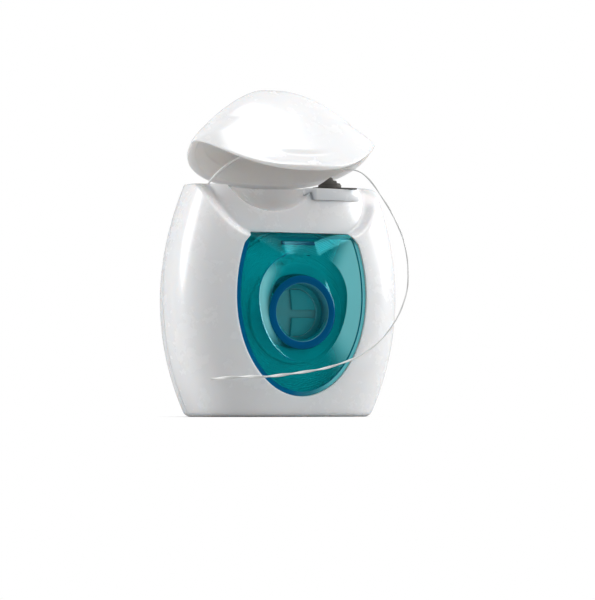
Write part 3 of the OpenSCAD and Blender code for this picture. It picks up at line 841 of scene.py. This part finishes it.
# Painted reflections: a pale patch on the dish's left flank, and one on the plate right of the dish.
painted_left_flank_reflection = (share < 0.99) * smooth(ramp(share, 0.55, 0.95)) * smooth(ramp(-right, 0.45, 0.95))
painted_right_flank_reflection = (share > 1.01) * (from_rim > 1.0) * smooth(ramp(right, 0.45, 0.9))
deep = np.maximum.reduce([band * to_left, line * (1 - to_left), outline])
right_rim = (from_rim < 0.75) * (1 - to_left)
milk = np.maximum.reduce([0.75 * band * to_left, below_lap * right_rim, 0.7 * painted_left_flank_reflection,
                          0.72 * painted_right_flank_reflection, 0.7 * outline])
pale = np.maximum.reduce([0.9 * painted_left_flank_reflection, 0.7 * painted_right_flank_reflection, 0.5 * right_rim])
hub = slice(len(plate) * len(t), (len(plate) + n_bore) * len(t))
# The hub's rows get set values: dark blue with painted caught light on its front ring and the outside of
# its tube, paler painted light in the bore.
deep[hub] = per_row([1, 1, 1, 0.9, 0.5, 0.1, 0.1, 0.1, 0.2, 0.3, 0.3, 0.5, 0.9, 0.9])
milk[hub] = per_row([0.7, 0.65, 0.65, 0.65, 0.3, 0.4, 0.6, 0.6, 0.7, 0.3, 0, 0, 0.4, 0.4])
pale[hub] = per_row([0, 0, 0, 0.3, 0.6, 0.1, 0.1, 0.2, 0.7, 0, 0, 0, 0, 0])
mark_points(window, deep=deep, milk=milk, pale=pale)
print("window marks, means:", [round(float(v.mean()), 3) for v in (deep, milk, pale)])

# %% [markdown]
# ### What stands behind the plate
# A short rib stiffens the plate under the lap. In the hub two thin teal sheets and a clear film lie behind
# the step of the bore, in front of the pin: the picture shows their tints there. They paint light and shade
# on the pin's white face: the sheets are painted teal light that comes through the hub's wall onto its
# right quarters, and the film paints the whole face a greyish teal, its painted shade. Each is a plain
# prism, bevelled where its edge shows, because such small plates only catch light.

# %% Add the rib, and the sheets and film that paint light and shade on the pin
RIB_DROP, RIB_H, RIB_D, RIB_LEFT, RIB_RIGHT = 2.4, 0.8, 1.2, -3.2, 3.6
rib_z = WINDOW_TOP - RIB_DROP
rib_y = float(front_y(0, rib_z, WINDOW_SET + WINDOW_T)) + float(lap(0, rib_z))
rib = slab("rib", np.array([RIB_LEFT, RIB_RIGHT, RIB_RIGHT, RIB_LEFT]),
           rib_y + np.array([0.02, 0.02, RIB_D, RIB_D]), rib_z, rib_z + RIB_H)
bevelled(rib, 0.12)
# The rib is dark blue, with painted caught light in it.
mark_points(rib, deep=1.0, milk=0.75, pale=0.0)
# Two teal sheets paint teal light on the pin's right quarters; a pale film paints the pin's face a shaded
# grey-teal.
TINT_R, SHEET_SET, SHEET_T, FILM_SET, FILM_T = PIN_BORE / 2 - 0.02, 0.25, 0.6, 0.9, 0.1
teal_light_sheets = []
for z_from, z_to, name in ((0.55, 4.25, "upper_teal_light_sheet"), (-4.25, -0.95, "lower_teal_light_sheet")):
    z = np.linspace(z_from, z_to, 14)
    arc = np.sqrt(np.clip(TINT_R**2 - z**2, 0, None))
    start = np.minimum(-0.35 - 0.1 * np.abs(z), arc - 0.2)
    key = prism(name, np.r_[start, arc[::-1]], HUB_Z + np.r_[z, z[::-1]], STEP_Y + SHEET_SET,
                STEP_Y + SHEET_SET + SHEET_T)
    teal_light_sheets.append(mark_points(bevelled(key, 0.08), deep=0.0, milk=0.8, pale=0.2))
a = np.linspace(0, 2 * math.pi, 60, endpoint=False)
film = prism("pin_shade_film", TINT_R * np.cos(a), HUB_Z + TINT_R * np.sin(a), STEP_Y + FILM_SET,
             STEP_Y + FILM_SET + FILM_T)
join(window, rib, mark_points(film, deep=0.0, milk=0.5, pale=0.7), *teal_light_sheets)
shade(window, 28)
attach(window, "body")
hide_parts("window")
count(window)

# %% [markdown]
# ## The cutter
# The cutter is a strip of thin dark steel. Its foot lies in the block's groove and one end is folded up
# into a tooth with a stepped, serrated edge that the floss is drawn over. It is drawn as a flat foot and an
# upright tooth cut from its outline, each of the sheet's thickness, with small bevels on their edges.

# %% Fold the cutter
CUTTER_L, CUTTER_D, CUTTER_T, TOOTH_W, TOOTH_H = 8, 2.6, 0.3, 4.7, 2.1
CUTTER_X = BLOCK_X + 0.7
CUTTER_Y = float(front_y(0, DECK_Z, LID_WALL + 2 * LID_GAP)) + 0.55
steps = np.array([
    (0, 0.5), (0.25, 1.22), (0.52, 2.1), (0.57, 2.06), (0.62, 1.93), (0.64, 1.6), (0.67, 1.5),
    (0.70, 1.58), (0.73, 1.47), (0.76, 1.55), (0.79, 1.42), (0.81, 1.12), (0.84, 1.02),
    (0.87, 1.1), (0.90, 0.98), (0.94, 1.04), (0.97, 0.78), (1, 0.67)])
tooth_x = np.r_[0, steps[:, 0], 1] * TOOTH_W
tooth_z = np.r_[0, steps[:, 1], 0]
tooth = prism("tooth", CUTTER_X + tooth_x, DECK_Z + 0.05 + tooth_z * (TOOTH_H - 0.05) / TOOTH_H,
              CUTTER_Y, CUTTER_Y + CUTTER_T)
foot = slab("foot", CUTTER_X + np.array([0, CUTTER_L, CUTTER_L, 0]),
            CUTTER_Y + np.array([0, 0, CUTTER_D, CUTTER_D]), DECK_Z, DECK_Z + CUTTER_T)
bevelled(foot, 0.1, 3)
bevelled(tooth, 0.05, 2, 50)
cutter = join(foot, tooth)
cutter.name = cutter.data.name = "cutter_strip"
shade(cutter, 40)
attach(cutter, "body")
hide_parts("cutter")
count(cutter)

# %% [markdown]
# ## The spool
# Behind the window turns a plain ring with the floss wound on it. The layers under the outermost one
# show only their ends, as fine rings one against the other, so a turned profile of small waves makes
# them. The outermost layer is one thread in a helix and follows a rule, so Geometry Nodes make it:
# a Spiral node gives the path, a circle its section, and a little noise keeps the turns from looking
# machined. The sizes are the tree's named inputs.

# %% Turn the core and the inner layers
CORE_GAP, CORE_SET, CORE_EDGE, WOUND_DIA, TURN_DIA = 0.09, 3, 0.75, 31, 0.55
CORE_FRONT, CORE_BACK = HUB_FRONT + CORE_SET, HUB_BACK - 0.3
WOUND_FRONT = CORE_FRONT + CORE_EDGE
WOUND_W = CORE_BACK - CORE_EDGE - WOUND_FRONT
r0, r1, c = HUB_DIA / 2 + CORE_GAP, CORE_DIA / 2, 0.15
spool_core = turned("spool_core_ring", [
    (r0 + c, CORE_FRONT), (r1 - c, CORE_FRONT), (r1, CORE_FRONT + c), (r1, CORE_BACK - c),
    (r1 - c, CORE_BACK), (r0 + c, CORE_BACK), (r0, CORE_BACK - c), (r0, CORE_FRONT + c)])
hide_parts("spool_core")

inner_r = (WOUND_DIA - TURN_DIA) / 2 * math.cos(math.pi / 24) - TURN_DIA / 2
layers = int((inner_r - r1 - 0.02) / (TURN_DIA * 0.7))
pitch = (inner_r - r1 - 0.02) / layers
waves = []
for k in range(layers):
    for a in np.linspace(0, math.pi, 7)[:-1]:
        waves.append((r1 + 0.02 + pitch * (k + 0.5 - 0.5 * math.cos(a)), 0.1 * math.sin(a)))
front = [(r, WOUND_FRONT + 0.22 - d) for r, d in waves]
back = [(r, WOUND_FRONT + WOUND_W - 0.22 + d) for r, d in waves[::-1]]
inner_turns = turned("floss_inner_layers", front + [(inner_r, WOUND_FRONT + 0.22),
                                                  (inner_r, WOUND_FRONT + WOUND_W - 0.22)] + back, 160)
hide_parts("floss_inner_turns")
for piece in (spool_core, inner_turns):
    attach(piece, "spool")
    count(piece)

# %% [markdown]
# ## Trees of nodes
# The outermost layer of floss is wound by a tree of nodes, and each finish is a small tree as well.
# To keep their maths readable, a class wraps a socket, and the usual operators on it add Math nodes.
# Any other node comes from one function, which takes the node's settings first and then the values
# or links of its sockets, the first ones in order or any by name.

# %% A socket that does arithmetic
class Value:
    def __init__(self, tree, socket):
        self.tree, self.socket = tree, socket

    def math(self, operation, other):
        return node(self.tree, "ShaderNodeMath", {"operation": operation}, (self, other))

    def __add__(self, other):
        return self.math("ADD", other)

    def __mul__(self, other):
        return self.math("MULTIPLY", other)

    def __pow__(self, other):
        return self.math("POWER", other)

    __radd__, __rmul__ = __add__, __mul__

    def clamped(self, low, high):
        """0 at low and below, 1 at high and above."""
        return node(self.tree, "ShaderNodeMapRange", {"clamp": True}, Value=self,
                    From_Min=low, From_Max=high)

    def part(self, axis):
        return node(self.tree, "ShaderNodeSeparateXYZ", None, (self,), axis)

    def scaled(self, *factors):
        """A vector stretched by three numbers."""
        return node(self.tree, "ShaderNodeVectorMath", {"operation": "MULTIPLY"}, (self, factors))


def feed(tree, socket, value):
    """Links a socket to a Value or another socket, or sets it to a plain number or colour."""
    value = value.socket if isinstance(value, Value) else value
    if isinstance(value, bpy.types.NodeSocket):
        tree.links.new(value, socket)
    else:
        socket.default_value = value


def node(tree, kind, settings=None, first=(), out=0, **values):
    """The output of a new node; values go by socket name, with _ for a space."""
    made = tree.nodes.new(kind)
    for key, value in (settings or {}).items():
        setattr(made, key, value)
    for socket, value in zip(made.inputs, first):
        feed(tree, socket, value)
    for key, value in values.items():
        feed(tree, made.inputs[key.replace("_", " ")], value)
    return Value(tree, made.outputs[out])


# %% Wind the outermost layer with Geometry Nodes
tree = bpy.data.node_groups.new("wind_floss", "GeometryNodeTree")
tree.interface.new_socket("Geometry", in_out="INPUT", socket_type="NodeSocketGeometry")
SIZES = {"Turns": 22.0, "Winding radius": (WOUND_DIA - TURN_DIA) / 2000,
         "Winding width": (WOUND_W - TURN_DIA) / 1000, "Floss diameter": TURN_DIA / 1000,
         "Unevenness": 0.00006}
for name in SIZES:
    tree.interface.new_socket(name, in_out="INPUT", socket_type="NodeSocketFloat")
tree.interface.new_socket("Finish", in_out="INPUT", socket_type="NodeSocketMaterial")
tree.interface.new_socket("Geometry", in_out="OUTPUT", socket_type="NodeSocketGeometry")

given = tree.nodes.new("NodeGroupInput").outputs
spiral = node(tree, "GeometryNodeCurveSpiral", Resolution=72, Rotations=given["Turns"],
              Start_Radius=given["Winding radius"], End_Radius=given["Winding radius"],
              Height=given["Winding width"])
laid = node(tree, "GeometryNodeTransform", Geometry=spiral, Rotation=(-math.pi / 2, 0, 0),
            Translation=(0, (WOUND_FRONT + TURN_DIA / 2) / 1000, HUB_Z / 1000))
cloud = node(tree, "ShaderNodeTexNoise", {"noise_dimensions": "4D"}, out="Color", Scale=420.0,
             Detail=1.0, W=7.0)
centred = node(tree, "ShaderNodeVectorMath", {"operation": "SUBTRACT"}, (cloud, (0.5, 0.5, 0.5)))
shift = node(tree, "ShaderNodeVectorMath", {"operation": "SCALE"}, (centred,),
             Scale=given["Unevenness"])
moved = node(tree, "GeometryNodeSetPosition", Geometry=laid, Offset=shift)
circle = node(tree, "GeometryNodeCurvePrimitiveCircle", Resolution=10,
              Radius=0.5 * Value(tree, given["Floss diameter"]))
tube = node(tree, "GeometryNodeCurveToMesh", Curve=moved, Profile_Curve=circle, Fill_Caps=True)
real = node(tree, "GeometryNodeRealizeInstances", Geometry=tube)
finished = node(tree, "GeometryNodeSetMaterial", Geometry=real, Material=given["Finish"])
feed(tree, tree.nodes.new("NodeGroupOutput").inputs["Geometry"], finished)

floss_finish = bpy.data.materials.new("waxed_floss")
outer_turns = place("floss_outer_layer", bpy.data.meshes.new("floss_outer_layer"))
winder = outer_turns.modifiers.new("wind", "NODES")
winder.node_group = tree
for item in tree.interface.items_tree:
    if item.in_out == "INPUT" and item.name in SIZES:
        winder[item.identifier] = SIZES[item.name]
    elif item.in_out == "INPUT" and item.name == "Finish":
        winder[item.identifier] = floss_finish
with_modifiers(outer_turns)
shade(outer_turns, 60)
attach(outer_turns, "spool")
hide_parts("floss_outer_turns")
count(outer_turns)

# %% [markdown]
# ## Finishes
# Every finish starts from a Principled shader and reads the piece's own coordinates or its UV map, so
# that its pattern stays with the piece. A few helpers mix colours, make noise, read the marks on the
# points and give a finish to its pieces.

# %% Helpers for finishes
def blend_colours(tree, factor, a, b):
    mixer = tree.nodes.new("ShaderNodeMix")
    mixer.data_type = "RGBA"
    for slot, value in ((0, factor), (6, a), (7, b)):
        feed(tree, mixer.inputs[slot], (*value, 1) if isinstance(value, tuple) else value)
    return Value(tree, mixer.outputs[2])


def new_finish(name, made=None, **constants):
    finish = made or bpy.data.materials.new(name)
    finish.use_nodes = True
    shader = finish.node_tree.nodes["Principled BSDF"]
    for key, value in constants.items():
        shader.inputs[key.replace("_", " ")].default_value = value
    where = node(finish.node_tree, "ShaderNodeTexCoord", out="Object")
    return finish, finish.node_tree, shader, where


def noise(tree, where, scale, detail, **more):
    return node(tree, "ShaderNodeTexNoise", Vector=where, Scale=scale, Detail=detail, **more)


def marked(tree, name):
    """The value that the pieces' points carry under this name."""
    return node(tree, "ShaderNodeAttribute", {"attribute_name": name}, out="Fac")


def dress(finish, *pieces):
    for piece in pieces:
        piece.data.materials.clear()
        piece.data.materials.append(finish)
        print(piece.name, "is dressed in", finish.name)


def mix_shaders(tree, factor, shader, other):
    """Shows a mix of a finish's own shader and another one."""
    mixed = node(tree, "ShaderNodeMixShader", None, (factor, shader.outputs[0], other))
    feed(tree, tree.nodes["Material Output"].inputs["Surface"], mixed)


def set_bump(tree, shader, height, strength, distance):
    bump = node(tree, "ShaderNodeBump", Height=height, Strength=strength, Distance=distance)
    feed(tree, shader.inputs["Normal"], bump)


# %% [markdown]
# ## White moulding
# The shells, the hinge and the lid are glossy white polypropylene. A real moulding is never quite
# even: its tone drifts by a few hundredths, its gloss is broken by handling, and its skin has a very
# fine waviness. Some light runs a millimetre or two through the plastic, which softens its shadows.
# The inside of the lid is painted a lighter, warmer white: painted light, standing in for the warm light
# that gathers between its walls.

# %% Mix the white
white, tree, shader, where = new_finish("white_gloss", IOR=1.5, Coat_Roughness=0.08, Coat_Weight=0.25,
                                        Subsurface_Weight=0.8, Subsurface_Scale=0.002)
shader.inputs["Subsurface Radius"].default_value = (1.0, 0.85, 0.75)
drift, fine = noise(tree, where, 60.0, 2.0), noise(tree, where, 900.0, 3.0)
inside = marked(tree, "inside")
outer_tone = blend_colours(tree, drift, (0.85, 0.85, 0.86), (0.875, 0.873, 0.879))
# Painted warm light: where the points mark the lid's inside, the white is lighter and warmer.
inner_painted_warm_light = blend_colours(tree, drift, (0.92, 0.9, 0.885), (0.94, 0.92, 0.905))
feed(tree, shader.inputs["Base Color"], blend_colours(tree, inside, outer_tone, inner_painted_warm_light))
handled = noise(tree, where, 220.0, 4.0, Roughness=0.65)
feed(tree, shader.inputs["Roughness"], 0.24 + 0.06 * handled + 0.22 * inside)
set_bump(tree, shader, fine, 0.03, 0.00004)
dress(white, front_shell, rear_shell, lid, hinge_strip)

# %% [markdown]
# ## Clear teal
# The window is dyed clear plastic. Light that crosses it loses its red, so the shader transmits and its
# colour is the dye's. The points marked "deep" turn dark blue: in the hub that is the deeper colour of
# walls seen edge on, on the left rim and along the dish's left edge it is painted shade. A second, opaque
# shader paints light caught inside thick walls. It takes over where the points carry the caught light mark,
# and gets lighter with "pale", up to painted highlights and reflections.

# %% Mix the teal
teal, tree, shader, where = new_finish("teal_clear", IOR=1.46, Transmission_Weight=1.0, Coat_Weight=0.0)
deep, milk, pale = (marked(tree, name) for name in ("deep", "milk", "pale"))
drift = noise(tree, where, 90.0, 2.0)
dye = blend_colours(tree, drift, (0.0, 0.66, 0.72), (0.0, 0.74, 0.78))
# Dark blue where marked deep: deeper colour in the hub, painted shade on the left rim.
feed(tree, shader.inputs["Base Color"], blend_colours(tree, deep, dye, (0.0, 0.19, 0.46)))
feed(tree, shader.inputs["Roughness"], 0.03 + 0.07 * noise(tree, where, 300.0, 3.0))
set_bump(tree, shader, noise(tree, where, 110.0, 1.0), 0.06, 0.0003)
cast = blend_colours(tree, drift, (0.0, 0.44, 0.50), (0.0, 0.52, 0.58))
cast = blend_colours(tree, deep, cast, (0.0, 0.12, 0.34))
GLINT = (0.05, 0.75, 0.85, 1)
shader.inputs["Specular Tint"].default_value = GLINT
# An opaque, lighter teal over the clear one: painted caught light, lightened by pale into painted
# highlights and reflections.
caught_light_shader = node(tree, "ShaderNodeBsdfPrincipled", Roughness=0.15, Specular_Tint=GLINT,
                  Base_Color=blend_colours(tree, pale, cast, (0.36, 0.92, 0.97)))
mix_shaders(tree, 0.06 + 0.8 * milk, shader, caught_light_shader)
dress(teal, window)

# %% [markdown]
# ## Steel, core and floss
# The cutter is cold rolled strip, dark and drawn in one direction: noise that is stretched along the
# strip gives its fine lines and breaks its gloss. The core is plain white moulding without gloss.
# The floss is white and waxy, and its pattern follows the UV map: fine filaments that wind slowly
# round the band. On the winding, which has no such map, noise that is stretched round the spool does it.

# %% Mix the steel and the core
steel, tree, shader, where = new_finish("cutter_steel", Metallic=0.9)
rolled = noise(tree, where.scaled(200.0, 5000.0, 5000.0), 1.0, 4.0)
stain = noise(tree, where, 700.0, 3.0)
feed(tree, shader.inputs["Base Color"],
     blend_colours(tree, 0.5 * rolled + 0.5 * stain, (0.05, 0.048, 0.045), (0.16, 0.152, 0.142)))
feed(tree, shader.inputs["Roughness"], 0.28 + 0.25 * rolled)
set_bump(tree, shader, rolled, 0.3, 0.0001)
core, tree, shader, where = new_finish("core_white", IOR=1.5)
drift = noise(tree, where, 150.0, 3.0)
feed(tree, shader.inputs["Base Color"], blend_colours(tree, drift, (0.74, 0.74, 0.72), (0.8, 0.8, 0.78)))
feed(tree, shader.inputs["Roughness"], 0.45 + 0.2 * drift)
set_bump(tree, shader, drift, 0.2, 0.0002)
dress(steel, cutter)
dress(core, spool_core)

# %% Mix the floss
waxed, tree, shader, where = new_finish("waxed_floss", floss_finish, Sheen_Weight=0.2, IOR=1.45)
turn = noise(tree, where.scaled(900.0, 3500.0, 900.0), 1.0, 2.0)
feed(tree, shader.inputs["Base Color"], blend_colours(tree, turn, (0.78, 0.79, 0.77), (0.9, 0.9, 0.88)))
feed(tree, shader.inputs["Roughness"], 0.42 + 0.2 * turn)
set_bump(tree, shader, turn, 0.5, 0.0001)
band, tree, shader, where = new_finish("floss_band", Sheen_Weight=0.2, IOR=1.45)
along = node(tree, "ShaderNodeUVMap", {"uv_map": "along"})
lay = along.part(0) * 0.35 + along.part(1)
strands = node(tree, "ShaderNodeCombineXYZ", X=along.part(0) * 0.5, Y=lay * 14.0)
filament = noise(tree, strands, 1.0, 3.0)
feed(tree, shader.inputs["Base Color"],
     blend_colours(tree, filament.clamped(0.3, 0.7), (0.76, 0.77, 0.76), (0.92, 0.92, 0.91)))
feed(tree, shader.inputs["Roughness"], 0.38 + 0.25 * filament)
set_bump(tree, shader, filament, 0.6, 0.00012)
dress(band, floss_loop, floss_tail, floss_feed)
dress(waxed, inner_turns)
print("finishes:", sorted(m.name for m in bpy.data.materials if m.users))

# %% [markdown]
# ## Shelf, backdrop and light
# The picture shows plain white all round and a thin dark line under the base. The shelf is a pale
# matte sheet that gives back less light to the plastic than to the camera, so that the front keeps
# its greys. To the camera and through clear plastic the world is white; as a light it is dim. A
# large soft lamp stands on the right, one on the left, and a weak one above.

# %% Set the stage
shelf = bpy.data.meshes.new("shelf")
a = 2 * math.pi * np.arange(96) / 96
shelf.from_pydata([(3 * math.cos(v), 3 * math.sin(v), 0) for v in a], [], [tuple(range(96))])
paper, tree, shader, where = new_finish("pale_paper", Roughness=0.9, Specular_IOR_Level=0.1)
seen = node(tree, "ShaderNodeLightPath", out="Is Camera Ray")
feed(tree, shader.inputs["Base Color"],
     blend_colours(tree, seen, (0.44, 0.44, 0.44), (0.88, 0.88, 0.88)))
off = (where.part(0) ** 2 + where.part(1) ** 2) ** 0.5
plain = off.clamped(0.017, 0.023) * seen
mix_shaders(tree, plain, shader, node(tree, "ShaderNodeEmission", Strength=1.0))
shelf.materials.append(paper)
place("shelf", shelf)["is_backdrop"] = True

world = bpy.data.worlds.new("studio")
bpy.context.scene.world = world
world.use_nodes = True
tree = world.node_tree
background = tree.nodes["Background"]
seen = node(tree, "ShaderNodeLightPath", out="Is Camera Ray")
crossed = node(tree, "ShaderNodeLightPath", out="Is Transmission Ray")
AMBIENT = 0.32
feed(tree, background.inputs["Strength"], AMBIENT + (1 - AMBIENT) * seen.math("MAXIMUM", crossed))
background.inputs["Color"].default_value = (1, 1, 1, 1)


def lamp(name, spot, target, size, power):
    light = bpy.data.lights.new(name, "AREA")
    light.shape, light.size, light.energy = "DISK", size, power
    o = place(name, light)
    o.location = spot
    o.rotation_euler = (Vector(target) - Vector(spot)).to_track_quat("-Z", "Y").to_euler()


lamp("right", (0.50, -0.12, 0.22), (0, 0, 0.025), 0.36, 2.75)
lamp("left", (-0.50, 0.10, 0.22), (0, 0, 0.025), 0.36, 2.1)
lamp("top", (0.12, -0.14, 0.55), (0, 0, 0.03), 0.3, 1.3)
bpy.context.scene.view_settings.view_transform = "Standard"

# %% [markdown]
# ## Sizes
# The dressed dispenser's box is compared with the box of its solids, and the difference at each corner is
# printed. The dressed dispenser must stay in the box of its solids.

# %% Compare the boxes and finish
shown_box = [list(corner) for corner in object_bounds()]
for name, a, b in zip(("low", "high"), cad_box, shown_box):
    print(name, "corner differs by", [round(1000 * (q - p), 2) for p, q in zip(a, b)], "mm")
